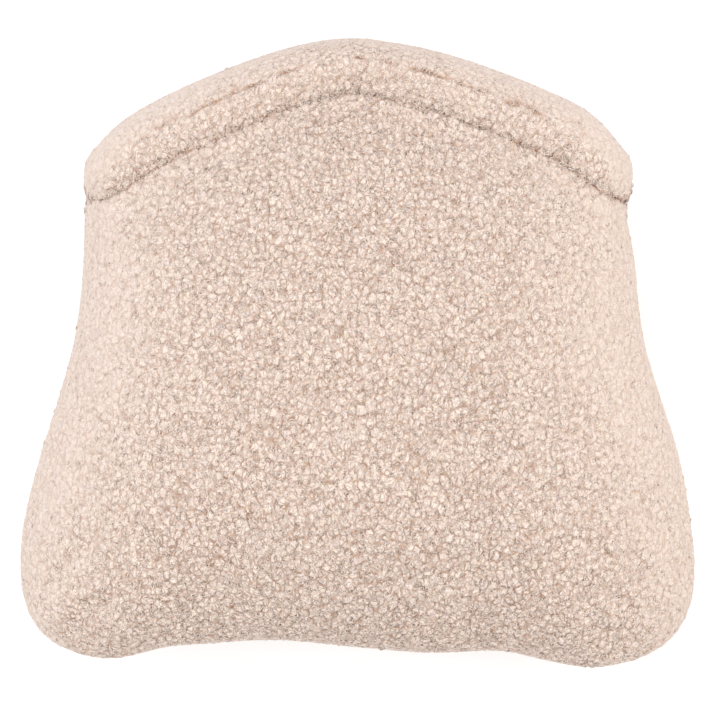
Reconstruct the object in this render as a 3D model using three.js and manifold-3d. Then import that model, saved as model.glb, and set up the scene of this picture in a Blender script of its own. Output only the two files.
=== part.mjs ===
// A shaped cushion in curly pile, lying on its back: a filled body that widens like a bell to two
// full lower corners, and a stuffed roll sewn along its arched head.
// Millimetres. X runs across the cushion, +Y towards the roll and +Z out of the face.
// Z = 0 is the surface it lies on, and the origin is the middle of the cushion's footprint.

import * as THREE from "three";
import { mergeVertices } from "three/addons/utils/BufferGeometryUtils.js";
import Module from "manifold-3d";

// Heights of the body
const EDGE_HEIGHT = 62; // its widest contour, above the surface
const CROWN = 78; // the face's crown above that contour
const BACK_DEPTH = 67; // the back's depth below it, before the weight presses it flat
const FACE_FULLNESS = { inward: 3.2, upward: 2.2 }; // exponents of the face's rounded section
const BACK_FULLNESS = { inward: 4, upward: 2.4 };
const CORNER_THINNING = 0.1; // share of the height lost over the two lower corners
const SIDE_SEAM_DEPTH = 2; // the sewn line round the sides draws the pile in by this

// What the edge's rings shrink to, so that its waves fade towards the middle of the face
const CENTRE = new THREE.Vector2(0, -10);
const MIDDLE_OVAL = new THREE.Vector2(212, 204);
const WAVE_FADING = 1.5; // exponent: more of it makes the waves fade sooner

// Fineness of the two skins
const POINTS_ROUND_BODY = 128;
const RINGS_UP_FACE = 11; // and as many down the back
const SEAM_LIP = THREE.MathUtils.degToRad(3); // climb from the side seam to the ring at its lip
const STATIONS_ALONG_ROLL = 56;
const STATIONS_ROUND_ROLL_END = 7;
const POINTS_ROUND_ROLL = 40;

// The roll
const ROLL_SHARE_BELOW = 0.92; // it is pressed a little flatter on the side it lies on
const ROLL_END_LENGTH = 25; // how far its round ends reach past the spine
const CREASE_STEP = 8; // the sewn crease's place, in points round the roll from its outer edge
const CREASE_DEPTH = 3;
const SEAM_GAP = 0.3; // between the roll and the body it is sewn to

const PILE_COLOUR = 0xe6d3c4;

// Spine of the roll from left to right: its place, and the roll's half width and half height there
const ROLL_SPINE = [
  { at: "left end", x: -169, y: 126, halfWidth: 26, halfHeight: 46 },
  { at: "left shoulder", x: -151, y: 142, halfWidth: 27.5, halfHeight: 51 },
  { at: "left limb, low", x: -130, y: 153.5, halfWidth: 28.5, halfHeight: 54 },
  { at: "left limb", x: -100, y: 167.5, halfWidth: 28.5, halfHeight: 57 },
  { at: "left limb, high", x: -59, y: 185.5, halfWidth: 26.5, halfHeight: 59 },
  { at: "left of the peak", x: -25, y: 196, halfWidth: 25, halfHeight: 60 },
  { at: "peak", x: 0, y: 199.5, halfWidth: 23.5, halfHeight: 60 },
  { at: "right of the peak", x: 16, y: 197, halfWidth: 24, halfHeight: 60 },
  { at: "right limb, high", x: 48, y: 189, halfWidth: 26, halfHeight: 59 },
  { at: "right limb", x: 89, y: 174.5, halfWidth: 27.5, halfHeight: 57 },
  { at: "right limb, low", x: 124, y: 160, halfWidth: 28, halfHeight: 54 },
  { at: "right shoulder", x: 149, y: 148, halfWidth: 27.5, halfHeight: 51 },
  { at: "right end", x: 171, y: 128, halfWidth: 24.5, halfHeight: 46 },
];

// The body's edge seen face on, from under the roll's right end round the base to its left end
const BODY_EDGE = [
  { at: "under the roll, right", x: 183, y: 117 },
  { at: "notch", x: 189.5, y: 101 },
  { at: "right side", x: 196.5, y: 70 },
  { at: "right waist", x: 199, y: 42 },
  { at: "right flare, high", x: 203.5, y: 9 },
  { at: "right flare", x: 212, y: -21 },
  { at: "right flare, low", x: 229, y: -74 },
  { at: "right corner, side", x: 238, y: -127 },
  { at: "right corner, widest", x: 240, y: -155 },
  { at: "right corner, low", x: 236, y: -182 },
  { at: "right corner, turn", x: 222, y: -204 },
  { at: "right corner, base", x: 199, y: -217.5 },
  { at: "right corner, lowest", x: 166, y: -223.4 },
  { at: "right corner, inner", x: 135, y: -219 },
  { at: "right hollow", x: 103, y: -211.5 },
  { at: "middle swell", x: 54, y: -213 },
  { at: "middle", x: -3, y: -208.5 },
  { at: "left hollow", x: -58, y: -203.5 },
  { at: "left hollow, outer", x: -108, y: -206.5 },
  { at: "left pleat", x: -134, y: -208.5 },
  { at: "left corner, inner", x: -154, y: -213.5 },
  { at: "left corner, lowest", x: -177, y: -217.5 },
  { at: "left corner, base", x: -202, y: -212.5 },
  { at: "left corner, turn", x: -222, y: -201 },
  { at: "left corner, low", x: -235, y: -182 },
  { at: "left corner, widest", x: -240, y: -151 },
  { at: "left corner, side", x: -237.5, y: -120 },
  { at: "left flare, low", x: -227, y: -77 },
  { at: "left flare", x: -213, y: -33 },
  { at: "left flare, high", x: -202, y: 5 },
  { at: "left waist", x: -196.5, y: 41 },
  { at: "left side", x: -194.5, y: 70 },
  { at: "left shoulder", x: -193, y: 98 },
  { at: "under the roll, left", x: -184, y: 114 },
];

const wasm = await Module();
wasm.setup();

// A smooth curve through a table's rows, with two of its columns as coordinates.
function curveThrough(rows, first, second, closed) {
  const points = rows.map((row) => new THREE.Vector3(row[first], row[second], 0));
  return new THREE.CatmullRomCurve3(points, closed, "centripetal");
}

// Closed skin over a stack of equal rings, with one point closing each end.
function skinOver(rings, firstPoint, lastPoint) {
  const count = rings[0].length;
  const points = [firstPoint, ...rings.flat(), lastPoint];
  const last = points.length - 1;
  const faces = [];
  const place = (ring, step) => 1 + ring * count + (step % count);
  for (let step = 0; step < count; step++) {
    faces.push(0, place(0, step + 1), place(0, step));
    for (let ring = 0; ring + 1 < rings.length; ring++) {
      const [a, b] = [place(ring, step), place(ring, step + 1)];
      const [c, d] = [place(ring + 1, step + 1), place(ring + 1, step)];
      faces.push(a, b, c, a, c, d);
    }
    faces.push(last, place(rings.length - 1, step), place(rings.length - 1, step + 1));
  }
  const geometry = new THREE.BufferGeometry().setFromPoints(points);
  geometry.setIndex(faces);
  return geometry;
}

function solidFrom(geometry) {
  const bare = geometry.clone();
  bare.deleteAttribute("normal");
  bare.deleteAttribute("uv");
  const merged = mergeVertices(bare, 1e-4);
  const mesh = new wasm.Mesh({
    numProp: 3,
    vertProperties: merged.attributes.position.array,
    triVerts: new Uint32Array(merged.index.array),
  });
  return new wasm.Manifold(mesh);
}

function geometryFrom(solid) {
  const mesh = solid.getMesh();
  const geometry = new THREE.BufferGeometry();
  geometry.setAttribute("position", new THREE.BufferAttribute(mesh.vertProperties, 3));
  geometry.setIndex(new THREE.BufferAttribute(mesh.triVerts, 1));
  geometry.computeVertexNormals();
  return geometry;
}

// The body's whole edge, anticlockwise seen face on: the table's rows, closed along the roll's spine.
function bodyEdge() {
  const rows = [...BODY_EDGE, ...ROLL_SPINE].reverse();
  return curveThrough(rows, "x", "y", true).getSpacedPoints(POINTS_ROUND_BODY).slice(0, -1);
}

// 1 over the middle of a lower corner, falling to 0 along the sides, the base and the head.
function cornerShare(direction) {
  const downward = Math.max(0, -direction.y);
  return (2 * downward * Math.abs(direction.x)) ** 2;
}

// One ring of the body. climb runs from -90 degrees under the back to 90 degrees over the face.
function bodyRing(edge, climb) {
  const fullness = climb < 0 ? BACK_FULLNESS : FACE_FULLNESS;
  const reach = Math.cos(climb) ** (2 / fullness.inward);
  const rise = Math.abs(Math.sin(climb)) ** (2 / fullness.upward);
  const drawnIn = climb === 0 ? SIDE_SEAM_DEPTH : 0;
  return edge.map((point) => {
    const arm = new THREE.Vector2(point.x, point.y).sub(CENTRE);
    const direction = arm.clone().normalize();
    const oval = 1 / Math.hypot(direction.x / MIDDLE_OVAL.x, direction.y / MIDDLE_OVAL.y);
    const full = THREE.MathUtils.lerp(oval, arm.length() - drawnIn, reach ** WAVE_FADING);
    const thinned = 1 - CORNER_THINNING * cornerShare(direction) * reach;
    const height = climb < 0 ? -BACK_DEPTH * rise : CROWN * rise * thinned;
    return new THREE.Vector3(
      CENTRE.x + direction.x * full * reach,
      CENTRE.y + direction.y * full * reach,
      EDGE_HEIGHT + height,
    );
  });
}

function filledBody() {
  const edge = bodyEdge();
  const up = [];
  for (let ring = 0; ring < RINGS_UP_FACE; ring++) {
    up.push(THREE.MathUtils.lerp(SEAM_LIP, Math.PI / 2, ring / RINGS_UP_FACE));
  }
  const down = up.map((climb) => -climb).reverse();
  const rings = [...down, 0, ...up].map((climb) => bodyRing(edge, climb));
  const underBack = new THREE.Vector3(CENTRE.x, CENTRE.y, EDGE_HEIGHT - BACK_DEPTH);
  const overFace = new THREE.Vector3(CENTRE.x, CENTRE.y, EDGE_HEIGHT + CROWN);
  return skinOver(rings, underBack, overFace);
}

// Places along the roll with its size there, and how far round its closed end each one is.
function rollStations(grownBy) {
  const spine = curveThrough(ROLL_SPINE, "x", "y", false);
  const sizes = curveThrough(ROLL_SPINE, "halfWidth", "halfHeight", false);
  const stationAt = (share, endTurn) => {
    const along = spine.getTangent(share);
    const size = sizes.getPoint(share);
    const shrink = Math.cos(endTurn);
    return {
      centre: spine.getPoint(share).addScaledVector(along, Math.sin(endTurn) * (ROLL_END_LENGTH + grownBy)),
      outward: new THREE.Vector3(-along.y, along.x, 0),
      halfWidth: (size.x + grownBy) * shrink,
      halfHeight: (size.y + grownBy) * shrink,
    };
  };
  const stations = [];
  for (let k = STATIONS_ROUND_ROLL_END; k > 0; k--) {
    stations.push(stationAt(0, (-k / STATIONS_ROUND_ROLL_END) * (Math.PI / 2)));
  }
  for (let k = 0; k <= STATIONS_ALONG_ROLL; k++) {
    stations.push(stationAt(k / STATIONS_ALONG_ROLL, 0));
  }
  for (let k = 1; k <= STATIONS_ROUND_ROLL_END; k++) {
    stations.push(stationAt(1, (k / STATIONS_ROUND_ROLL_END) * (Math.PI / 2)));
  }
  return stations;
}

// One oval ring of the roll, with the notch of the crease that is sewn along its top.
function rollRing(station, creaseDepth) {
  const ring = [];
  for (let step = 0; step < POINTS_ROUND_ROLL; step++) {
    const angle = (step / POINTS_ROUND_ROLL) * 2 * Math.PI;
    const sunk = step === CREASE_STEP ? Math.min(creaseDepth, station.halfHeight / 4) : 0;
    const below = Math.sin(angle) < 0 ? ROLL_SHARE_BELOW : 1;
    const point = station.centre.clone();
    point.addScaledVector(station.outward, station.halfWidth * Math.cos(angle));
    point.z = EDGE_HEIGHT + (station.halfHeight * Math.sin(angle) * below - sunk);
    ring.push(point);
  }
  return ring;
}

function stuffedRoll(grownBy, creaseDepth) {
  const stations = rollStations(grownBy);
  const [first, last] = [stations[0], stations[stations.length - 1]];
  const rings = stations.slice(1, -1).map((station) => rollRing(station, creaseDepth));
  const tip = (station) => station.centre.clone().setZ(EDGE_HEIGHT);
  return skinOver(rings, tip(first), tip(last));
}

// Everything under the surface that the cushion lies on.
function belowSurface() {
  const box = new THREE.Box3().setFromObject(new THREE.Mesh(filledBody()));
  const size = box.getSize(new THREE.Vector3()).multiplyScalar(2);
  return new THREE.BoxGeometry(size.x, size.y, size.z).translate(0, 0, -size.z / 2);
}

function pileMesh(name, geometry) {
  const material = new THREE.MeshStandardMaterial({ color: PILE_COLOUR, roughness: 0.95, metalness: 0 });
  const mesh = new THREE.Mesh(geometry, material);
  mesh.name = name;
  return mesh;
}

const pressedFlat = solidFrom(filledBody()).subtract(solidFrom(belowSurface()));
const body = pressedFlat.subtract(solidFrom(stuffedRoll(SEAM_GAP, 0)));

const cushion = new THREE.Group();
cushion.add(pileMesh("filled_body", geometryFrom(body)));
cushion.add(pileMesh("head_roll", stuffedRoll(0, CREASE_DEPTH)));

const footprint = new THREE.Box3().setFromObject(cushion);
const middle = footprint.getCenter(new THREE.Vector3());
cushion.position.set(-middle.x, -middle.y, -footprint.min.z);

export default cushion;
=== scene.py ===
"""A shaped cushion in curly pile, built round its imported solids: the filled body, the stuffed roll
sewn along its arched head, the curls of the pile, and a pale studio with a camera over its face.
Metres and the frame's axes throughout: +Y towards the roll, +Z out of the face.
"""

import math

import bpy
import numpy as np
from bpy.props import FloatProperty, FloatVectorProperty, IntProperty, PointerProperty
from bpy.types import Operator, Panel, PropertyGroup
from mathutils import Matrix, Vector, noise
from mathutils.bvhtree import BVHTree
from mathutils.kdtree import KDTree


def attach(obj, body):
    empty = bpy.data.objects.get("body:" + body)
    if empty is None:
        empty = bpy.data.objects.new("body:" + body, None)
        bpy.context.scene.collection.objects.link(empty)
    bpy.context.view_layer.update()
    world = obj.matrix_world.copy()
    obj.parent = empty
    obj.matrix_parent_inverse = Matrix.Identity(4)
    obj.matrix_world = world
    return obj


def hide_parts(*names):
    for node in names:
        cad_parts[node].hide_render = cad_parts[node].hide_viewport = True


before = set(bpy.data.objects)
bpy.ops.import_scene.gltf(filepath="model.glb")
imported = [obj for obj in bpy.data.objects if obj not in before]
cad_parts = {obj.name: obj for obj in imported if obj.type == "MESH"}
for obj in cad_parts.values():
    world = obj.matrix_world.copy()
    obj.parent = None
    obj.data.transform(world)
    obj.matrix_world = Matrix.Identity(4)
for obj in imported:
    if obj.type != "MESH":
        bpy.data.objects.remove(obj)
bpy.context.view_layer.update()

bl_info = {
    "name": "Curly pile cushion",
    "version": (1, 0, 0),
    "blender": (4, 5, 0),
    "location": "View3D > Sidebar > Cushion",
    "description": "Fills the cushion's body and head roll, covers them in curls and lights them",
    "category": "Object",
}

MM = 0.001
BODY = "filled_body"
ROLL = "head_roll"


def linear(hex_code):
    """The linear colour, with alpha, of an sRGB hex value."""
    shares = [int(hex_code[place:place + 2], 16) / 255 for place in (1, 3, 5)]
    bent = [c / 12.92 if c <= 0.04045 else ((c + 0.055) / 1.055) ** 2.4 for c in shares]
    return (*bent, 1.0)


# Sizes and colours a user would change


class FillingSettings(PropertyGroup):
    mesh_size: FloatProperty(
        name="Mesh size", description="Size of the cover's faces while it is filled",
        default=5 * MM, unit="LENGTH",
    )
    ground_depth: FloatProperty(
        name="Ground depth", description="How deep the pile's ground lies under the tips of its curls",
        default=2.4 * MM, unit="LENGTH",
    )
    pressure: FloatProperty(
        name="Pressure", description="Push of the filling on the cover", default=4.0,
    )
    farthest: FloatProperty(
        name="Farthest swell", description="The most that the filling may move the cover",
        default=3 * MM, unit="LENGTH",
    )
    frames: IntProperty(
        name="Frames", description="Length of the filling's simulation", default=20,
    )
    side_seam: FloatProperty(
        name="Side seam height", description="Height of the sewn line round the sides",
        default=62 * MM, unit="LENGTH",
    )


class PileSettings(PropertyGroup):
    clump_width: FloatProperty(
        name="Clump width", description="Distance between the clumps that the pile gathers into",
        default=7.5 * MM, unit="LENGTH",
    )
    clump_height: FloatProperty(
        name="Clump height", description="How far a clump stands above the furrows round it",
        default=0.2 * MM, unit="LENGTH",
    )
    lock_width: FloatProperty(
        name="Lock width", description="Distance between the locks of fibre in the clumps",
        default=5.4 * MM, unit="LENGTH",
    )
    lock_height: FloatProperty(
        name="Lock height", description="How far a lock stands above the furrows round it",
        default=1.3 * MM, unit="LENGTH",
    )
    nap: FloatProperty(
        name="Nap", description="How much longer a clump is along the cushion than across it",
        default=1.25,
    )
    curl_radius: FloatProperty(
        name="Curl radius", description="Radius of one curl of the pile", default=1.5 * MM, unit="LENGTH",
    )
    strand_width: FloatProperty(
        name="Strand width", description="Thickness of the strand of fibres in a curl",
        default=1.0 * MM, unit="LENGTH",
    )
    curl_spacing: FloatProperty(
        name="Curl spacing", description="Least distance between the middles of two curls",
        default=4.2 * MM, unit="LENGTH",
    )
    seed: IntProperty(name="Seed", description="Start of the random draws", default=7)


class ColourSettings(PropertyGroup):
    tip: FloatVectorProperty(
        name="Tip", description="Colour of the curls where they stand proud",
        subtype="COLOR", size=4, default=linear("#f4e2d2"),
    )
    # Painted shade: where its rise is low the pile is painted this brown, for the shade in its furrows
    furrow: FloatVectorProperty(
        name="Furrow", description="Colour deep in the furrows between the clumps",
        subtype="COLOR", size=4, default=linear("#ac8163"),
    )
    rose: FloatVectorProperty(
        name="Rose", description="The rosier of the two tints that the curls vary between",
        subtype="COLOR", size=4, default=linear("#f2dfd4"),
    )
    # Painted sheen: where the pile is calm, round the sides, it is painted in this paler tint
    brushed: FloatVectorProperty(
        name="Brushed", description="Paler tint of the pile round the sides, where it is brushed out",
        subtype="COLOR", size=4, default=linear("#e6d9ce"),
    )
    floor: FloatVectorProperty(
        name="Floor", description="Colour of the studio floor",
        subtype="COLOR", size=4, default=linear("#d0cfce"),
    )


class StudioSettings(PropertyGroup):
    camera_height: FloatProperty(
        name="Camera height", description="Height of the camera above the side seam",
        default=1.94, unit="LENGTH",
    )
    picture_width: FloatProperty(
        name="Picture width", description="Width that the picture takes in at the side seam's height",
        default=509 * MM, unit="LENGTH",
    )
    middle_right: FloatProperty(
        name="Middle to the right", description="How far right of the cushion's middle the picture's lies",
        default=1.8 * MM, unit="LENGTH",
    )
    middle_down: FloatProperty(
        name="Middle down", description="How far below the cushion's middle the picture's lies",
        default=4.6 * MM, unit="LENGTH",
    )


class CushionSettings(PropertyGroup):
    filling: PointerProperty(type=FillingSettings)
    pile: PointerProperty(type=PileSettings)
    colours: PointerProperty(type=ColourSettings)
    studio: PointerProperty(type=StudioSettings)


# Meshes as arrays


def smooth_step(values, low, high):
    """0 below low and 1 above high, with a smooth rise between."""
    share = np.clip((values - low) / (high - low), 0, 1)
    return share * share * (3 - 2 * share)


def unit(vectors):
    lengths = np.linalg.norm(vectors, axis=1, keepdims=True)
    return vectors / np.maximum(lengths, 1e-12)


def read_vectors(collection, attribute, count, width=3):
    values = np.zeros(count * width, np.float32)
    collection.foreach_get(attribute, values)
    return values.reshape(count, width).astype(float)


def points_of(mesh):
    return read_vectors(mesh.vertices, "co", len(mesh.vertices))


def normals_of(mesh):
    return read_vectors(mesh.vertex_normals, "vector", len(mesh.vertices))


def place_points(mesh, points):
    mesh.vertices.foreach_set("co", points.astype(np.float32).ravel())
    mesh.update()


def faces_of(mesh, sides):
    """The corners of a mesh's faces, which all have that many."""
    corners = np.zeros(len(mesh.loops), np.int32)
    mesh.loops.foreach_get("vertex_index", corners)
    return corners.reshape(-1, sides)


def write_attribute(mesh, name, values):
    """Keeps a number for each point, for the material to read."""
    attribute = mesh.attributes.new(name, "FLOAT", "POINT")
    attribute.data.foreach_set("value", values.astype(np.float32).ravel())


def mesh_from(name, points, faces):
    """A smooth mesh from arrays of its points and of its faces' corners."""
    mesh = bpy.data.meshes.new(name)
    mesh.vertices.add(len(points))
    mesh.vertices.foreach_set("co", points.astype(np.float32).ravel())
    mesh.loops.add(faces.size)
    mesh.loops.foreach_set("vertex_index", faces.astype(np.int32).ravel())
    mesh.polygons.add(len(faces))
    mesh.polygons.foreach_set("loop_start", np.arange(0, faces.size, faces.shape[1], dtype=np.int32))
    mesh.update(calc_edges=True)
    mesh.shade_smooth()
    return mesh


def new_object(name, mesh):
    piece = bpy.data.objects.new(name, mesh)
    bpy.context.scene.collection.objects.link(piece)
    return piece


def modified(piece, kind, **settings):
    """The mesh that one modifier makes of a piece, which is left without it."""
    modifier = piece.modifiers.new(kind.lower(), kind)
    for key, value in settings.items():
        setattr(modifier, key, value)
    graph = bpy.context.evaluated_depsgraph_get()
    mesh = bpy.data.meshes.new_from_object(piece.evaluated_get(graph))
    piece.modifiers.remove(modifier)
    return mesh


# Filling


def solid_tree(node):
    """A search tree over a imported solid's faces."""
    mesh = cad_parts[node].data
    return BVHTree.FromPolygons([v.co for v in mesh.vertices], [f.vertices for f in mesh.polygons])


def distance_to(points, tree, farthest):
    """How far each point is from the nearest face, or farthest where none is that near."""
    found = (tree.find_nearest(Vector(point), farthest)[3] for point in points)
    return np.array([farthest if distance is None else distance for distance in found])


# Points nearer to each other than this are one
WELDED = 0.01 * MM
# How far past the solids the two covers reach into each other in their seam
SEAM_CLOSED = 0.3 * MM
# Distances from the other solid between which a cover sinks to the ground's depth
SINKING = (1 * MM, 14 * MM)
# How far the other solid is looked for, near the seam and further off
NEAR_BY = 20 * MM
FAR_OFF = 30 * MM
# What is lower than this lies on the floor
ON_FLOOR = 1 * MM


def cover_over(node, other, name, filling):
    """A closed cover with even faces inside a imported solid, as deep as the pile on it is long. It is
    no deeper than the solid where it lies on the floor, and it meets the other cover in their seam."""
    cover = new_object(name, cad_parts[node].data.copy())
    cover.data = modified(cover, "WELD", merge_threshold=WELDED)
    points = points_of(cover.data)
    free = smooth_step(distance_to(points, solid_tree(other), NEAR_BY), *SINKING)
    inset = normals_of(cover.data) * (free * filling.ground_depth - (1 - free) * SEAM_CLOSED)[:, None]
    inset[points[:, 2] < ON_FLOOR, 2] = 0
    place_points(cover.data, points - inset)
    cover.data = modified(
        cover, "REMESH", mode="VOXEL", voxel_size=filling.mesh_size, use_smooth_shade=True,
    )
    return cover


def swell(cover, held, filling):
    """Blows a cover up inside its sewn lines with a short cloth simulation, and keeps the result."""
    scene = bpy.context.scene
    group = cover.vertex_groups.new(name="sewn_lines")
    for index, weight in enumerate(held):
        group.add([index], float(weight), "REPLACE")
    cloth = cover.modifiers.new("filling", "CLOTH")
    cloth.settings.use_pressure = True
    cloth.settings.uniform_pressure_force = filling.pressure
    cloth.settings.effector_weights.gravity = 0
    cloth.settings.vertex_group_mass = group.name
    start = points_of(cover.data)
    for number in range(1, filling.frames + 1):
        scene.frame_set(number)
    graph = bpy.context.evaluated_depsgraph_get()
    swollen = points_of(cover.evaluated_get(graph).data)
    cover.modifiers.remove(cloth)
    scene.frame_set(1)
    move = swollen - start
    length = np.linalg.norm(move, axis=1, keepdims=True)
    capped = np.minimum(length, filling.farthest) / np.maximum(length, 1e-9)
    place_points(cover.data, start + move * capped)


# Between these distances from the floor, the side seam and the other solid a cover comes free
FREE_OF_FLOOR = (4 * MM, 10 * MM)
FREE_OF_SIDE_SEAM = (3 * MM, 14 * MM)
FREE_OF_OTHER = (6 * MM, 24 * MM)


def held_on_body(points, filling):
    """1 where the body's cover can't swell: where it lies, at its side seam, and under the roll."""
    resting = 1 - smooth_step(points[:, 2], *FREE_OF_FLOOR)
    at_seam = 1 - smooth_step(np.abs(points[:, 2] - filling.side_seam), *FREE_OF_SIDE_SEAM)
    under_roll = 1 - smooth_step(distance_to(points, solid_tree(ROLL), FAR_OFF), *FREE_OF_OTHER)
    return np.maximum.reduce([resting, at_seam, under_roll])


def held_on_roll(points, filling):
    """1 where the roll's cover can't swell: along the body that it is sewn to."""
    return 1 - smooth_step(distance_to(points, solid_tree(BODY), FAR_OFF), *FREE_OF_OTHER)


# Pile


def spread_out(points, spacing):
    """Indexes of points taken in order, each at least spacing from those taken before it."""
    cells = {}
    taken = []
    reach = range(-1, 2)
    homes = np.floor(points / spacing).astype(int)
    for index, (point, home) in enumerate(zip(points, homes)):
        near = [
            other
            for x in reach for y in reach for z in reach
            for other in cells.get((home[0] + x, home[1] + y, home[2] + z), ())
        ]
        if all(np.dot(point - other, point - other) >= spacing ** 2 for other in near):
            cells.setdefault(tuple(home), []).append(point)
            taken.append(index)
    return np.array(taken)


# Places tried for each square of the spacing
TRIES = 6


def scattered(mesh, still, spacing, nap, random):
    """Points spread over a mesh at least spacing apart, and nap times that along the cushion, with the
    mesh's normals there. They are chosen on the still mesh, as it was before it was filled, because the
    last digits of a simulation differ from run to run."""
    still.calc_loop_triangles()
    count = len(still.loop_triangles)
    faces = read_vectors(still.loop_triangles, "vertices", count).astype(int)
    points = points_of(still)
    a, b, c = (points[faces[:, corner]] for corner in range(3))
    area = np.linalg.norm(np.cross(b - a, c - a), axis=1) / 2
    tries = int(TRIES * area.sum() / spacing ** 2)
    pick = random.choice(count, tries, p=area / area.sum())
    share = np.sort(random.random((tries, 2)), axis=1)
    weights = np.stack([share[:, 0], share[:, 1] - share[:, 0], 1 - share[:, 1]], axis=1)
    corners = faces[pick]
    taken = spread_out(np.einsum("ij,ijk->ik", weights, points[corners]) * squeeze(nap), spacing)
    weights, corners = weights[taken], corners[taken]
    spots = np.einsum("ij,ijk->ik", weights, points_of(mesh)[corners])
    facing = unit(np.einsum("ij,ijk->ik", weights, normals_of(mesh)[corners]))
    return spots, facing


def squeeze(nap):
    """What turns a place into one where lumps that the nap draws out are as long as they are wide."""
    return np.array([1, 1 / nap, 1])


# How full the flattest and the fullest lump are
FULLNESS = (0.9, 1.08)


class Lumps:
    """The lumps of one size that the pile gathers into, with furrows between them that take up a share
    of their width."""

    def __init__(self, mesh, still, width, furrow, nap, random):
        self.squeeze = squeeze(nap)
        self.reach = furrow * width
        middles, _ = scattered(mesh, still, width, nap, random)
        self.fullness = random.uniform(*FULLNESS, len(middles))
        self.tree = KDTree(len(middles))
        for index, middle in enumerate(middles * self.squeeze):
            self.tree.insert(middle, index)
        self.tree.balance()

    def rise(self, points):
        """For each point 0 in a furrow and about 1 on a lump."""
        rises = np.zeros(len(points))
        for index, point in enumerate(points * self.squeeze):
            (_, first, near), (_, _, far) = self.tree.find_n(point, 2)
            share = min(1.0, (far - near) / self.reach)
            rises[index] = math.sqrt(share * (2 - share)) * self.fullness[first]
        return rises


# The furrows waver by this much over this length. Without a seed that noise would start from the clock.
WAVER_SIZE = 4.5 * MM
WAVER = 2 * MM
WAVER_SEED = 7
# Loose fibre stands this much up or down over this length
ROUGH_SIZE = 2.2 * MM
ROUGHNESS = 0.35 * MM
# How rough that fibre is, how much finer each layer of its noise is, and how many there are
ROUGH_NOISE = (0.5, 2.0, 3)
# Shares of the lumps' width that their furrows take up
CLUMP_FURROW = 0.8
LOCK_FURROW = 0.45
# The pile's rise in a furrow, and what a clump, a lock and loose fibre add to it; a low rise is
# painted darker, as painted shade in the furrows
FURROW_RISE = 0.46
CLUMP_RISE = 0.02
LOCK_RISE = 0.27
ROUGH_RISE = 0.06
# The tint wanders over this length, this strongly
TINT_SIZE = 5 * MM
TINT_SPREAD = 1.2


class Pile:
    """Curly pile on a cover: clumps, the locks of fibre that they are made of, and loose fibre."""

    def __init__(self, mesh, still, pile, random):
        self.pile = pile
        self.clumps = Lumps(mesh, still, pile.clump_width, CLUMP_FURROW, pile.nap, random)
        self.locks = Lumps(mesh, still, pile.lock_width, LOCK_FURROW, pile.nap, random)

    def around(self, points):
        """For each point how far the pile stands out of its ground, and its rise, which is less in a
        furrow than on a tip; a low rise is painted darker, as painted shade in the furrows."""
        noise.seed_set(WAVER_SEED)
        wavering = points + np.array([noise.noise_vector(Vector(p) / WAVER_SIZE) for p in points]) * WAVER
        rough = np.array([noise.fractal(Vector(p) / ROUGH_SIZE, *ROUGH_NOISE) for p in points])
        clump = self.clumps.rise(wavering)
        lock = self.locks.rise(wavering)
        height = clump * self.pile.clump_height + lock * self.pile.lock_height + rough * ROUGHNESS
        return height, FURROW_RISE + CLUMP_RISE * clump + LOCK_RISE * lock + ROUGH_RISE * rough


def tints_of(points):
    """A number for each point that wanders between 0 and 1 from clump to clump."""
    return np.clip([0.5 + TINT_SPREAD * noise.noise(Vector(p) / TINT_SIZE) for p in points], 0, 1)


def line_share(distance, width):
    """1 on a line and 0 a few widths away from it."""
    return np.exp(-(distance / width) ** 2)


def noise_over(points, size):
    """Noise between about -1 and 1 with lumps of a real size, for each point."""
    return np.array([noise.noise(Vector(p) / size) for p in points])


# Noise between these values turns a patch from one state into the other
PATCH = (-0.3, 0.3)
# The sewn line round the body's sides: its width, its patches' size, its depth and what they take off it
SIDE_SEAM_WIDTH = 2 * MM
SIDE_SEAM_PATCH = 9 * MM
SIDE_SEAM_DEPTH = 0.85
GROWN_OVER = 0.65
# Where the roll's pile parts: the tilt of its skin there and how wide the parting is, how far and over
# what length it wanders, its patches' size, and how far from the middle it ends
PARTING_TILT = math.radians(24)
PARTING_WIDTH = math.radians(7)
PARTING_WANDER = 0.12
WANDER_SIZE = 50 * MM
PARTING_PATCH = 14 * MM
PARTING_ENDS = (120 * MM, 170 * MM)


def seam_share(node, points, normals, filling):
    """1 along the sewn line round the body's sides, or where the roll's pile parts along its crown."""
    if node == BODY:
        grown_over = noise_over(points, SIDE_SEAM_PATCH)
        line = line_share(points[:, 2] - filling.side_seam, SIDE_SEAM_WIDTH)
        return line * (SIDE_SEAM_DEPTH - GROWN_OVER * smooth_step(grown_over, *PATCH))
    outward = points * (1, 1, 0)
    tilt = np.arctan2(np.sum(normals * unit(outward), axis=1), normals[:, 2])
    wander = noise_over(points, WANDER_SIZE)
    faint = noise_over(points, PARTING_PATCH)
    line = line_share(tilt - PARTING_TILT - PARTING_WANDER * wander, PARTING_WIDTH)
    middle = 1 - smooth_step(np.abs(points[:, 0]), *PARTING_ENDS)
    return line * middle * smooth_step(faint, *PATCH)


# The pile has its full height from this far off the floor, and loses this share of it in a sewn line
CLEAR_OF_FLOOR = 6 * MM
SEAM_LOSS = 0.5


def standing_share(node, points, normals, filling):
    """How much of its height the pile has at each point, and how near a sewn line it is: the pile has no
    height where it lies on the floor, little along a sewn line, and all of it elsewhere."""
    off_floor = smooth_step(points[:, 2], 0, CLEAR_OF_FLOOR)
    seam = seam_share(node, points, normals, filling)
    return off_floor * (1 - SEAM_LOSS * seam), seam


# Between these parts of its normal the skin turns sideways, and from upright to level
SIDEWAYS = (0, 0.65)
LEVEL = (0, 0.5)
# Distances from the other solid between which the pile is no longer by the seam, and right at it
BY_SEAM = (8 * MM, 25 * MM)
AT_SEAM = (3 * MM, 10 * MM)
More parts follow.
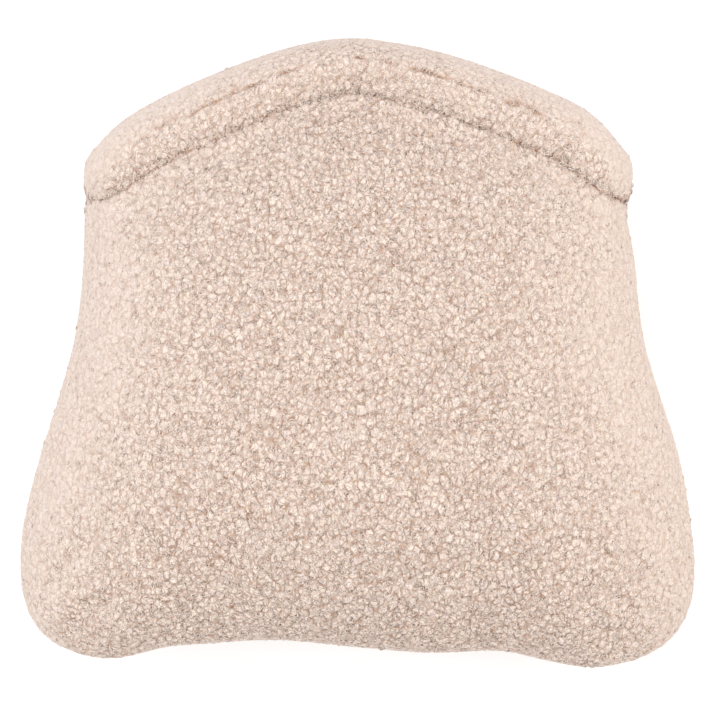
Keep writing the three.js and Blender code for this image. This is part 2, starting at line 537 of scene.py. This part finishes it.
# How lively the roll is, and what its seam adds; its ends start this far from the middle
ROLL_LIVELY = 0.8
ROLL_SEAM_GAIN = 0.08
ROLL_ENDS = (165 * MM, 190 * MM)
# How much less the shoulders are brushed out by the roll's seam
SEAM_SPARES = 0.7
# What the foot adds to the face and its seam takes off, and how far down the foot is; the material
# shows the foot's gain as darker painted furrow shade towards the bottom
FOOT_GAIN = 0.1
FACE_SEAM_LOSS = 0.15
FOOT = (60 * MM, 190 * MM)
# What brushing takes off a shoulder that faces sideways, and what is left where it is steep; the
# material paints what is taken off paler, a painted sheen
BRUSHED_LOSS = 0.42
STEEP_LEFT = 0.6
# How lively the pile is right at the seam and below the shoulders, and the upward parts of the normal
# between which the shoulders begin
AT_SEAM_LIVELY = 0.75
BELOW_LIVELY = 0.8
BELOW = (0.05, 0.65)


def lively_share(node, points, normals, distance):
    """How strongly the pile gathers at each point: fully on the face and a little more by its foot,
    nearly as much on the roll and round the sides, and less along the seam and on the shoulders between
    the face and the sides, where it is brushed out. The material paints with it too: where it is low the
    pile is painted paler, a painted sheen, with less painted shade in its furrows, and where it is high,
    as by the foot, the furrows' painted shade is darker."""
    sideways = smooth_step(np.abs(normals[:, 0]), *SIDEWAYS)
    level = smooth_step(np.abs(normals[:, 2]), *LEVEL)
    by_seam = 1 - smooth_step(distance, *BY_SEAM)
    if node == ROLL:
        most = ROLL_LIVELY + ROLL_SEAM_GAIN * by_seam
        inner = 1 - smooth_step(np.abs(points[:, 0]), *ROLL_ENDS)
        sideways = sideways * (1 - SEAM_SPARES * by_seam * inner)
    else:
        most = 1 + FOOT_GAIN * smooth_step(-points[:, 1], *FOOT) - FACE_SEAM_LOSS * by_seam
    steepness = STEEP_LEFT + (1 - STEEP_LEFT) * np.maximum(level, by_seam)
    brushed = most * (1 - BRUSHED_LOSS * sideways) * steepness
    below = BELOW_LIVELY * (1 - smooth_step(normals[:, 2], *BELOW))
    at_seam = AT_SEAM_LIVELY * (1 - smooth_step(distance, *AT_SEAM))
    return np.maximum.reduce([brushed, below, at_seam])


# The share of its full height that calm pile has
CALM_HEIGHT = 0.7


def pile_depth(height, share, lively, pile):
    """How far the pile stands out of its ground: evenly where it is calm, and in lumps where it isn't."""
    even = CALM_HEIGHT * (pile.clump_height + pile.lock_height)
    return (even + (height - even) * lively) * share


# How deep a sewn line or parting is drawn in
SEAM_DEPTH = 1.0 * MM
# Along the seam between the covers the pile is lifted by this much and grows by this share
SEAM_FILL = 1.0 * MM
CROWDING = 1.45
# What is nearer than this to the other solid is hidden, and what is nearer than the next is closed below
# the pile by ground that is raised a little
PRESSED_WITHIN = 0.9 * MM
UNDERLAY_WITHIN = 4 * MM
UNDERLAY_RISE = 0.5 * MM
# The most triangles in one piece
MOST_TRIANGLES = 190000
# The look of the ground under the pile, as its rise, tint and liveliness; this rise paints the
# ground part way into the furrows' painted shade
GROUND_LOOK = 0.5
# The rise of calm pile, which evens out the painted furrow shade; the share of it left where the pile
# has no height, a painted shade near the floor and along the sewn lines; and the share that the seam
# between the covers takes off it, a painted shade along that seam
CALM_RISE = 0.6
PRESSED_RISE = 0.1
SEAM_PAINTED_SHADE = 0.42
# Distances from the other solid between which the seam's painted shade and its crowding end
SEAM_SHADE_WITHIN = (2.5 * MM, 6 * MM)
CROWDED_WITHIN = (3 * MM, 18 * MM)
# The patches of the seam's painted shade, and how it fades towards its left end
SEAM_SHADE_PATCH_SIZE = 7 * MM
SEAM_SHADE_PATCH = (-0.4, 0.1)
FADING = 0.8
LEFT_END = (150 * MM, 185 * MM)
# How much less the pile is crowded at the sides, and the sideways parts of the normal where they begin
SIDE_LOSS = 0.5
AT_SIDE = (0.6, 0.95)


def sewn_share(points, normals, distance):
    """How much painted shade the seam to the other cover has at each point, in patches, and how much the
    pile there is crowded out over it, from the distance to that cover's solid."""
    patchy = noise_over(points, SEAM_SHADE_PATCH_SIZE)
    faded = 1 - FADING * smooth_step(-points[:, 0], *LEFT_END)
    # Painted shade along the seam, in patches, fading towards the left end
    deep = (1 - smooth_step(distance, *SEAM_SHADE_WITHIN)) * smooth_step(patchy, *SEAM_SHADE_PATCH) * faded
    at_side = smooth_step(np.abs(normals[:, 0]), *AT_SIDE)
    return deep, (1 - smooth_step(distance, *CROWDED_WITHIN)) * (1 - SIDE_LOSS * at_side)


# Faces whose normals point down by more than this lie flat
FLAT_DOWN = -0.95


def mark_pressed(cover, other):
    """Marks 2 on the faces that can't be seen, because they lie on the floor or against the other cover,
    and 1 on those that close the ground under the pile along the seam."""
    mesh = cover.data
    centres = read_vectors(mesh.polygons, "center", len(mesh.polygons))
    downward = read_vectors(mesh.polygons, "normal", len(mesh.polygons))[:, 2] < FLAT_DOWN
    resting = (centres[:, 2] < ON_FLOOR) & downward
    distance = distance_to(centres, solid_tree(other), NEAR_BY)
    hidden = resting | (distance < PRESSED_WITHIN)
    marks = mesh.attributes.new("pressed", "INT", "FACE")
    marks.data.foreach_set("value", np.where(hidden, 2, distance < UNDERLAY_WITHIN).astype(np.int32))


def marks_of(mesh):
    marks = np.zeros(len(mesh.polygons), np.int32)
    mesh.attributes["pressed"].data.foreach_get("value", marks)
    return marks


def part_of(name, points, normals, attributes, faces):
    """A part of a cover with those faces, shaded as the whole cover is."""
    used, corners = np.unique(faces, return_inverse=True)
    mesh = mesh_from(name, points[used], corners.reshape(faces.shape))
    mesh.normals_split_custom_set_from_vertices(normals[used].tolist())
    for key, values in attributes.items():
        write_attribute(mesh, key, values[used])
    return mesh


def raise_pile(cover, still, node, other, settings, random):
    """Makes the pieces of a cover: its pressed part, raised a little where it doesn't lie on the floor,
    and the rest in fine parts, raised into clumps and locks. Gives back the smooth cover, the still one
    that random places are chosen on, and the pile, for the curls."""
    smooth = modified(cover, "SUBSURF", levels=1)
    fine = modified(cover, "SUBSURF", levels=2)
    name = cover.name
    bpy.data.objects.remove(cover)
    pile = Pile(smooth, still, settings.pile, random)
    pressed = faces_of(smooth, 4)[marks_of(smooth) > 0]
    flat = {key: np.full(len(smooth.vertices), GROUND_LOOK) for key in ("rise", "tint", "lively")}
    ground = points_of(smooth)
    ground += normals_of(smooth) * (UNDERLAY_RISE * (ground[:, 2] > ON_FLOOR))[:, None]
    parts = [part_of(name + "_pressed", ground, normals_of(smooth), flat, pressed)]
    faces = faces_of(fine, 4)[marks_of(fine) < 2]
    shown = np.unique(faces)
    points, normals = points_of(fine), normals_of(fine)
    height, rise = pile.around(points[shown])
    share, seam = standing_share(node, points[shown], normals[shown], settings.filling)
    distance = distance_to(points[shown], solid_tree(other), FAR_OFF)
    lively = lively_share(node, points[shown], normals[shown], distance)
    seam_shade, crowded = sewn_share(points[shown], normals[shown], distance)
    depth = pile_depth(height, share, lively, settings.pile) * (1 + CROWDING * crowded)
    lift = depth + SEAM_FILL * crowded - SEAM_DEPTH * seam
    points[shown] += normals[shown] * lift[:, None]
    points[:, 2] = np.maximum(points[:, 2], 0)
    place_points(fine, points)
    attributes = {key: np.zeros(len(points)) for key in ("rise", "tint", "lively")}
    # The rise paints the pile: a low rise is painted in the furrows' brown, a painted shade, evened out
    # where the pile is calm and darker near the floor, along the sewn lines and along the seam
    calmed = CALM_RISE + (rise - CALM_RISE) * lively
    pressed_shade = PRESSED_RISE + (1 - PRESSED_RISE) * share
    attributes["rise"][shown] = calmed * pressed_shade * (1 - SEAM_PAINTED_SHADE * seam_shade)
    attributes["tint"][shown] = tints_of(points[shown])
    attributes["lively"][shown] = lively
    order = np.argsort(points[faces[:, 0], 0])
    shares = math.ceil(2 * len(faces) / MOST_TRIANGLES)
    for number, group in enumerate(np.array_split(faces[order], shares)):
        parts.append(part_of(f"{name}_{number + 1}", points, normals_of(fine), attributes, group))
    for mesh in parts:
        piece = finish_piece(new_object(mesh.name, mesh))
        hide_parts(node)
    return smooth, still, pile


# Steps along a curl, sides of its strand, and how many different curls there are
CURL_STEPS = 4
CURL_SIDES = 3
CURL_KINDS = 16
# How far curls turn, in degrees, how much they tighten and how they lean
CURL_TURN = (180, 300)
CURL_TIGHTENING = (0.7, 1.0)
CURL_LEAN = 0.15
# The crest runs over this much of half a turn, from this start
CREST_START = 0.08
CREST_LENGTH = 0.84
# A curl's height in radii, how blunt its crest is, and how much of the crest lies below its middle
CURL_HEIGHT = 0.5
CREST_BLUNTNESS = 0.7
CREST_BELOW = 0.6
# How thick a strand is at its ends, and what its crest adds
END_THICKNESS = 0.55
CREST_THICKNESS = 0.45
# Where the first side of a strand lies round it, in radians
FIRST_SIDE = 0.4
# A point's rise within its curl, and what facing up and the crest add: painted light on the strand's
# upper side and crest, and painted shade under it
STRAND_RISE = 0.5
UPWARD_PAINTED_LIGHT = 0.3
CREST_RISE = 0.2
# A curl's rise over the pile: the least, the share of the rest that its lowest points have, and how much
# that rest is over a furrow and what it gains over a lump; this paints painted shade low in the pile
# and over the furrows
LEAST_RISE = 0.4
LOWEST_SHARE = 0.35
OVER_FURROW = 0.2
OVER_LUMP = 0.6
# The spread of the curls' sizes, and how far they stray from upright
CURL_SIZES = (0.8, 1.2)
CURL_STRAY = 0.2
# No curl reaches lower than this
LOWEST_CURL = 0.3 * MM


def curl_shape(random):
    """Points of one curl on a unit radius, the way from each to its strand's skin, and each point's
    rise: an open arc that climbs out of the pile, turns over and dives back, thinner at its ends. The rise
    is painted light on the strand's upper side and crest and painted shade under it."""
    turn = math.radians(random.uniform(*CURL_TURN))
    tightening = random.uniform(*CURL_TIGHTENING)
    lean = random.uniform(-CURL_LEAN, CURL_LEAN)
    centres, spokes, rises = [], [], []
    for step in range(CURL_STEPS + 1):
        share = step / CURL_STEPS
        angle = turn * share
        radius = 1 + (tightening - 1) * share
        crest = math.sin(math.pi * (CREST_START + CREST_LENGTH * share))
        outward = np.array([math.cos(angle), math.sin(angle), 0])
        upward = np.array([0, 0, 1])
        height = CURL_HEIGHT * (crest ** CREST_BLUNTNESS - CREST_BELOW)
        centre = outward * radius + upward * (height + lean * math.cos(angle))
        thickness = END_THICKNESS + CREST_THICKNESS * crest ** 0.5
        for side in range(CURL_SIDES):
            around = 2 * math.pi * side / CURL_SIDES + FIRST_SIDE
            centres.append(centre)
            spokes.append((outward * math.cos(around) + upward * math.sin(around)) * thickness)
            rises.append(STRAND_RISE + UPWARD_PAINTED_LIGHT * math.sin(around) + CREST_RISE * crest)
    return np.array(centres), np.array(spokes), np.clip(rises, 0, 1)


def curl_faces():
    """The triangles of a curl's skin, with the two that close a strand of three sides at its ends."""
    faces = []
    for step in range(CURL_STEPS):
        for side in range(CURL_SIDES):
            here, there = step * CURL_SIDES, (step + 1) * CURL_SIDES
            beside = (side + 1) % CURL_SIDES
            faces.append((here + side, here + beside, there + beside))
            faces.append((here + side, there + beside, there + side))
    last = CURL_STEPS * CURL_SIDES
    faces.append((2, 1, 0))
    faces.append((last, last + 1, last + 2))
    return np.array(faces)


def curls_mesh(name, spots, facing, rises, lively, pile, random):
    """One mesh of many curls, each turned its own way on its own spot."""
    kinds = [curl_shape(random) for _ in range(CURL_KINDS)]
    count = len(spots)
    kind = random.integers(CURL_KINDS, size=count)
    centres, spokes, crests = (np.stack(part)[kind] for part in zip(*kinds))
    size = random.uniform(*CURL_SIZES, count)[:, None, None]
    curl = (centres * pile.curl_radius + spokes * pile.strand_width / 2) * size
    up = unit(facing + random.normal(0, CURL_STRAY, (count, 3)))
    across = unit(np.cross(up, unit(random.normal(0, 1, (count, 3)))))
    axes = np.stack([across, np.cross(up, across), up], axis=1)
    placed = np.einsum("nij,njk->nik", curl, axes) + spots[:, None, :]
    placed[:, :, 2] = np.maximum(placed[:, :, 2], LOWEST_CURL)
    pattern = curl_faces()
    width = centres.shape[1]
    faces = (pattern[None, :, :] + (np.arange(count) * width)[:, None, None]).reshape(-1, 3)
    mesh = mesh_from(name, placed.reshape(-1, 3), faces)
    # Painted shade and light: each curl is painted darker where it dives into the pile and over a furrow,
    # lighter over a lump, evened out where the pile is calm
    shown = LOWEST_SHARE + (1 - LOWEST_SHARE) * crests
    rise = LEAST_RISE + shown * (OVER_FURROW + OVER_LUMP * rises[:, None])
    write_attribute(mesh, "rise", CALM_RISE + (rise - CALM_RISE) * lively[:, None] ** 2)
    write_attribute(mesh, "lively", np.repeat(lively, width))
    write_attribute(mesh, "tint", np.repeat(random.random(count), width))
    return mesh


# Materials

PILE_NAME = "polyester curly pile, knitted and tumbled"
# Strands of fibre are 0.02 mm thick; their bundles are drawn this wide, to show in the render
FIBRE_SIZE = 0.9 * MM
# Curled strands lie this far apart, along the lines where their noise is halfway, and are this wide in it
STRAND_SIZE = 2.2 * MM
STRAND_EDGE = 0.08
# Furrows part locks of this width, and are this wide as a share of it
FURROW_SPACING = 4.6 * MM
FURROW_EDGE = 0.19
# They waver by half of this over the next length, and fade over the last
FURROW_WAVER = 3.4 * MM
FURROW_WAVER_SIZE = 3.0 * MM
FURROW_FADING_SIZE = 4.5 * MM
# What fibres, strands and furrows add to the rise, and the share of that where the pile is calm: the
# fibres vary the tone at random, the strands are a painted highlight and the furrows a painted shade
FIBRE_START = -0.21
FIBRE_GAIN = 0.26
STRAND_HIGHLIGHT = 0.22
FURROW_SHADE = -0.35
CALM_DETAIL = 0.35
# The rise from which on nothing of the furrows' colour, their painted shade, shows
TIP_RISE = 0.85
# How much strands and furrows stand out beside the fibres in the bump, and how deep that is
STRAND_RELIEF = 1.2
FURROW_RELIEF = -1.2
RELIEF_DEPTH = 0.5 * MM


def add_node(tree, kind, settings=None, inputs=None):
    """Adds a node, with its own settings, and its inputs either set or linked."""
    node = tree.nodes.new(kind)
    for key, value in (settings or {}).items():
        setattr(node, key, value)
    for key, value in (inputs or {}).items():
        if isinstance(value, bpy.types.NodeSocket):
            tree.links.new(value, node.inputs[key])
        else:
            node.inputs[key].default_value = value
    return node


def line_where(tree, value, width):
    """1 where a value is 0, falling smoothly to 0 where it reaches the width."""
    return add_node(
        tree, "ShaderNodeMapRange", {"interpolation_type": "SMOOTHSTEP"},
        {"Value": value, "From Min": 0.0, "From Max": width, "To Min": 1.0, "To Max": 0.0},
    ).outputs[0]


def scaled_and_added(tree, value, factor, added):
    """A value times a factor, with another value added."""
    return add_node(
        tree, "ShaderNodeMath", {"operation": "MULTIPLY_ADD"}, {0: value, 1: factor, 2: added},
    ).outputs[0]


def noise_at(tree, place, size, detail=0.0, distortion=0.0, output="Fac"):
    """Noise with lumps of a real size."""
    return add_node(
        tree, "ShaderNodeTexNoise", {},
        {"Vector": place, "Scale": 1 / size, "Detail": detail, "Distortion": distortion},
    ).outputs[output]


def curly_pile_material(colours, nap):
    """Polyester curly pile, knitted and tumbled: matt cream locks of fine fibre that scatter the light
    softly, rosier here and there. Painted light and shade: paler where they are brushed out, a painted
    sheen, lighter along their strands, a painted highlight, and warm and brown in the furrows, a painted
    shade."""
    material = bpy.data.materials.new(PILE_NAME)
    material.use_nodes = True
    tree = material.node_tree
    tree.nodes.clear()
    rise, tint, lively = (
        add_node(tree, "ShaderNodeAttribute", {"attribute_name": key}).outputs["Fac"]
        for key in ("rise", "tint", "lively")
    )
    flat = add_node(tree, "ShaderNodeTexCoord").outputs["Object"]
    place = add_node(
        tree, "ShaderNodeVectorMath", {"operation": "MULTIPLY"}, {0: flat, 1: (1, 1 / nap, 1)},
    ).outputs[0]
    mixed = add_node(
        tree, "ShaderNodeMix", {"data_type": "RGBA"}, {"Factor": tint, 6: colours.tip, 7: colours.rose},
    ).outputs[2]
    # Painted sheen: where the pile is calm it is painted in the paler brushed tint
    mixed = add_node(
        tree, "ShaderNodeMix", {"data_type": "RGBA"}, {"Factor": lively, 6: colours.brushed, 7: mixed},
    ).outputs[2]
    fibres = noise_at(tree, place, FIBRE_SIZE, detail=3.0, distortion=0.6)
    swirl = noise_at(tree, place, STRAND_SIZE, detail=0.5, distortion=0.3)
    off_line = add_node(tree, "ShaderNodeMath", {"operation": "SUBTRACT"}, {0: swirl, 1: 0.5}).outputs[0]
    apart = add_node(tree, "ShaderNodeMath", {"operation": "ABSOLUTE"}, {0: off_line}).outputs[0]
    strand = line_where(tree, apart, STRAND_EDGE)
    waver = noise_at(tree, place, FURROW_WAVER_SIZE, detail=2.0, output="Color")
    centred = add_node(
        tree, "ShaderNodeVectorMath", {"operation": "SUBTRACT"}, {0: waver, 1: (0.5, 0.5, 0.5)},
    ).outputs[0]
    bent = add_node(
        tree, "ShaderNodeVectorMath", {"operation": "MULTIPLY_ADD"},
        {0: centred, 1: (FURROW_WAVER, FURROW_WAVER, FURROW_WAVER), 2: place},
    ).outputs[0]
    from_furrow = add_node(
        tree, "ShaderNodeTexVoronoi", {"feature": "DISTANCE_TO_EDGE"},
        {"Vector": bent, "Scale": 1 / FURROW_SPACING},
    ).outputs["Distance"]
    fading = noise_at(tree, place, FURROW_FADING_SIZE, detail=1.0)
    open_share = add_node(
        tree, "ShaderNodeMapRange", {"interpolation_type": "SMOOTHSTEP"},
        {"Value": fading, "From Min": 0.4, "From Max": 0.6, "To Min": 0.6},
    ).outputs[0]
    # Painted shade: the furrows between the locks are painted darker, less where the pile is calm
    furrow = add_node(
        tree, "ShaderNodeMath", {"operation": "MULTIPLY"},
        {0: line_where(tree, from_furrow, FURROW_EDGE), 1: open_share},
    ).outputs[0]
    furrow = add_node(tree, "ShaderNodeMath", {"operation": "MULTIPLY"}, {0: furrow, 1: lively}).outputs[0]
    change = scaled_and_added(tree, fibres, FIBRE_GAIN, FIBRE_START)
    # Painted highlight: the strands are painted lighter
    change = scaled_and_added(tree, strand, STRAND_HIGHLIGHT, change)
    change = scaled_and_added(tree, furrow, FURROW_SHADE, change)
    clearly = scaled_and_added(tree, lively, 1 - CALM_DETAIL, CALM_DETAIL)
    risen = scaled_and_added(tree, change, clearly, rise)
    # Painted shade: where the rise is low the pile is painted in the furrows' brown
    colour = add_node(
        tree, "ShaderNodeMix", {"data_type": "RGBA"},
        {"Factor": line_where(tree, risen, TIP_RISE), 6: mixed, 7: colours.furrow},
    ).outputs[2]
    relief = scaled_and_added(tree, strand, STRAND_RELIEF, fibres)
    relief = scaled_and_added(tree, furrow, FURROW_RELIEF, relief)
    bump = add_node(
        tree, "ShaderNodeBump", {}, {"Height": relief, "Distance": RELIEF_DEPTH, "Strength": clearly},
    ).outputs["Normal"]
    shader = add_node(
        tree, "ShaderNodeBsdfPrincipled", {},
        {
            "Base Color": colour, "Roughness": 0.9, "Specular IOR Level": 0.2, "Normal": bump,
            "Sheen Weight": 0.45, "Sheen Roughness": 0.5, "Sheen Tint": linear("#fff2ec"),
        },
    ).outputs[0]
    add_node(tree, "ShaderNodeOutputMaterial", {}, {"Surface": shader})
    return material


def studio_floor_material(colours):
    """Opal acrylic, sanded matt and faintly lit from below: an even white ground with hardly a shadow."""
    material = bpy.data.materials.new("opal acrylic panel, sanded")
    material.use_nodes = True
    shader = material.node_tree.nodes["Principled BSDF"]
    shader.inputs["Base Color"].default_value = colours.floor
    shader.inputs["Roughness"].default_value = 0.9
    shader.inputs["Emission Color"].default_value = (1, 1, 1, 1)
    shader.inputs["Emission Strength"].default_value = 0.4
    return material


def pile_material():
    settings = bpy.context.scene.cushion
    found = bpy.data.materials.get(PILE_NAME)
    return found or curly_pile_material(settings.colours, settings.pile.nap)


def finish_piece(piece):
    """Gives a piece the pile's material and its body."""
    piece.data.materials.clear()
    piece.data.materials.append(pile_material())
    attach(piece, "root")
    return piece


# Operators

MADE = {}


def make_cover(node, other, name, held, settings, seed):
    """Makes one solid's cover, swells it and raises its pile."""
    cover = cover_over(node, other, name, settings.filling)
    still = modified(cover, "SUBSURF", levels=1)
    swell(cover, held(points_of(cover.data), settings.filling), settings.filling)
    mark_pressed(cover, other)
    MADE[node] = raise_pile(cover, still, node, other, settings, np.random.default_rng(seed))


class CUSHION_OT_fill_body(Operator):
    """Makes the filled body's cover, swells it and gathers its pile into clumps"""

    bl_idname = "cushion.fill_body"
    bl_label = "Fill the body"

    def execute(self, context):
        settings = context.scene.cushion
        make_cover(BODY, ROLL, "body_cover", held_on_body, settings, settings.pile.seed)
        return {"FINISHED"}


class CUSHION_OT_stuff_roll(Operator):
    """Makes the head roll's cover, swells it and gathers its pile into clumps"""

    bl_idname = "cushion.stuff_roll"
    bl_label = "Stuff the roll"

    def execute(self, context):
        settings = context.scene.cushion
        make_cover(ROLL, BODY, "roll_cover", held_on_roll, settings, settings.pile.seed + 1)
        return {"FINISHED"}


# How far curls stand proud of lively pile, and sink into calm pile and into the steep sides
CURL_LIFT = 0.1 * MM
CURL_SINK = 0.5 * MM
SIDE_SINK = 0.6 * MM
STEEP = (0.2, 0.6)
# Near the seam to the other solid curls are lifted, to bridge it
BRIDGE_LIFT = 0.4 * MM
BRIDGING = (1.5 * MM, 5 * MM)
# Between these shares of liveliness the curls go from none to all
CALM = (0.5, 0.8)
# Curls lie closer within this width along the seam
SEAM_SPACING = 2.7 * MM
SEAM_WIDTH = 8 * MM
# Curls lie on what faces up by more than this, where the pile has more than this share of its height
UNDER_SIDE = -0.6
LEAST_HEIGHT = 0.3


def lay_curls(node, other, name, filling, pile, random):
    """Lays curls over a cover, closer along its seam to the other, and none where it is pressed or lies
    underneath. Where the pile is calm they are left out at random."""
    smooth, still, relief = MADE[node]
    even = scattered(smooth, still, pile.curl_spacing, 1, random)
    close = scattered(smooth, still, SEAM_SPACING, 1, random)
    near = distance_to(close[0], solid_tree(other), FAR_OFF) < SEAM_WIDTH
    spots, facing = (np.concatenate([all_over, by_seam[near]]) for all_over, by_seam in zip(even, close))
    distance = distance_to(spots, solid_tree(other), FAR_OFF)
    share, _ = standing_share(node, spots, facing, filling)
    kept = (distance > PRESSED_WITHIN) & (facing[:, 2] > UNDER_SIDE) & (share > LEAST_HEIGHT)
    spots, facing, share, distance = spots[kept], facing[kept], share[kept], distance[kept]
    lively = lively_share(node, spots, facing, distance)
    standing = smooth_step(lively, *CALM) > random.random(len(lively))
    spots, facing, share, distance, lively = (
        values[standing] for values in (spots, facing, share, distance, lively)
    )
    height, rises = relief.around(spots)
    _, crowded = sewn_share(spots, facing, distance)
    depth = pile_depth(height, share, lively, pile) * (1 + CROWDING * crowded)
    off_seam = smooth_step(distance, SEAM_WIDTH, 2 * SEAM_WIDTH)
    steep = (1 - smooth_step(np.abs(facing[:, 2]), *STEEP)) * off_seam
    bridging = 1 - smooth_step(distance, *BRIDGING)
    proud = CURL_LIFT * lively - CURL_SINK * (1 - lively) - SIDE_SINK * steep + BRIDGE_LIFT * bridging
    spots = spots + facing * (depth + SEAM_FILL * crowded + proud)[:, None]
    order = np.argsort(spots[:, 0])
    shares = math.ceil(len(curl_faces()) * len(spots) / MOST_TRIANGLES)
    for number, group in enumerate(np.array_split(order, shares)):
        label = f"{name}_{number + 1}"
        mesh = curls_mesh(label, spots[group], facing[group], rises[group], lively[group], pile, random)
        finish_piece(new_object(label, mesh))


class CUSHION_OT_lay_curls(Operator):
    """Lays curls of pile over the body and the roll"""

    bl_idname = "cushion.lay_curls"
    bl_label = "Lay the curls"

    def execute(self, context):
        settings = context.scene.cushion
        random = np.random.default_rng(settings.pile.seed + 2)
        lay_curls(BODY, ROLL, "body_curls", settings.filling, settings.pile, random)
        lay_curls(ROLL, BODY, "roll_curls", settings.filling, settings.pile, random)
        return {"FINISHED"}


# The floor reaches this far from the middle, and the air gives this much light
FLOOR_REACH = 6.0
AIR_STRENGTH = 0.75
# Width of the camera's film in millimetres, as its lens is
FILM_WIDTH = 36.0
# Name, place, width, power and tint of each soft light
SOFTBOXES = (
    ("left_softbox", (-1.4, 0.0, 1.5), 1.4, 13.5, "#fafcff"),
    ("right_softbox", (1.4, 0.0, 1.5), 1.4, 12.8, "#fffbf4"),
    ("head_softbox", (0.0, 1.5, 1.5), 1.4, 11.3, "#e9f0ff"),
    ("foot_softbox", (0.0, -1.5, 1.6), 1.4, 7.8, "#f4f7ff"),
)


class CUSHION_OT_build_studio(Operator):
    """Makes the floor, the soft lights and the camera over the face"""

    bl_idname = "cushion.build_studio"
    bl_label = "Build the studio"

    def execute(self, context):
        settings = context.scene.cushion
        studio = settings.studio
        scene = context.scene
        scene.view_settings.view_transform = "Standard"
        floor = new_object("studio_floor", bpy.data.meshes.new("studio_floor"))
        corners = [(x * FLOOR_REACH, y * FLOOR_REACH, 0) for x, y in ((-1, -1), (1, -1), (1, 1), (-1, 1))]
        floor.data.from_pydata(corners, [], [(0, 1, 2, 3)])
        floor.data.materials.append(studio_floor_material(settings.colours))
        world = bpy.data.worlds.new("studio air")
        world.use_nodes = True
        air = world.node_tree.nodes["Background"]
        air.inputs["Color"].default_value = (1, 1, 1, 1)
        air.inputs["Strength"].default_value = AIR_STRENGTH
        scene.world = world
        for softbox in SOFTBOXES:
            soft_light(*softbox)
        camera = bpy.data.objects.new("over_the_face", bpy.data.cameras.new("over_the_face"))
        scene.collection.objects.link(camera)
        seam = settings.filling.side_seam
        camera.location = (studio.middle_right, -studio.middle_down, seam + studio.camera_height)
        camera.data.sensor_width = FILM_WIDTH
        camera.data.lens = FILM_WIDTH * studio.camera_height / studio.picture_width
        scene.camera = camera
        return {"FINISHED"}


def soft_light(name, place, width, power, tint):
    """A square soft light turned towards the cushion."""
    lamp = bpy.data.lights.new(name, "AREA")
    lamp.size = width
    lamp.energy = power
    lamp.color = linear(tint)[:3]
    light = bpy.data.objects.new(name, lamp)
    light.location = place
    light.rotation_euler = (-Vector(place)).to_track_quat("-Z", "Y").to_euler()
    bpy.context.scene.collection.objects.link(light)


class CUSHION_PT_making(Panel):
    """Steps and settings of the cushion"""

    bl_idname = "CUSHION_PT_making"
    bl_label = "Curly pile cushion"
    bl_space_type = "VIEW_3D"
    bl_region_type = "UI"
    bl_category = "Cushion"

    def draw(self, context):
        settings = context.scene.cushion
        for step in STEPS:
            self.layout.operator(step.bl_idname)
        for group in (settings.filling, settings.pile, settings.colours, settings.studio):
            box = self.layout.box()
            for name in group.__annotations__:
                box.prop(group, name)


STEPS = (CUSHION_OT_fill_body, CUSHION_OT_stuff_roll, CUSHION_OT_lay_curls, CUSHION_OT_build_studio)
GROUPS = (FillingSettings, PileSettings, ColourSettings, StudioSettings, CushionSettings)


def register():
    for each in (*GROUPS, *STEPS, CUSHION_PT_making):
        bpy.utils.register_class(each)
    bpy.types.Scene.cushion = PointerProperty(type=CushionSettings)


def unregister():
    del bpy.types.Scene.cushion
    for each in reversed((*GROUPS, *STEPS, CUSHION_PT_making)):
        bpy.utils.unregister_class(each)


def main():
    register()
    bpy.ops.cushion.fill_body()
    bpy.ops.cushion.stuff_roll()
    bpy.ops.cushion.lay_curls()
    bpy.ops.cushion.build_studio()


if __name__ == "__main__":
    main()
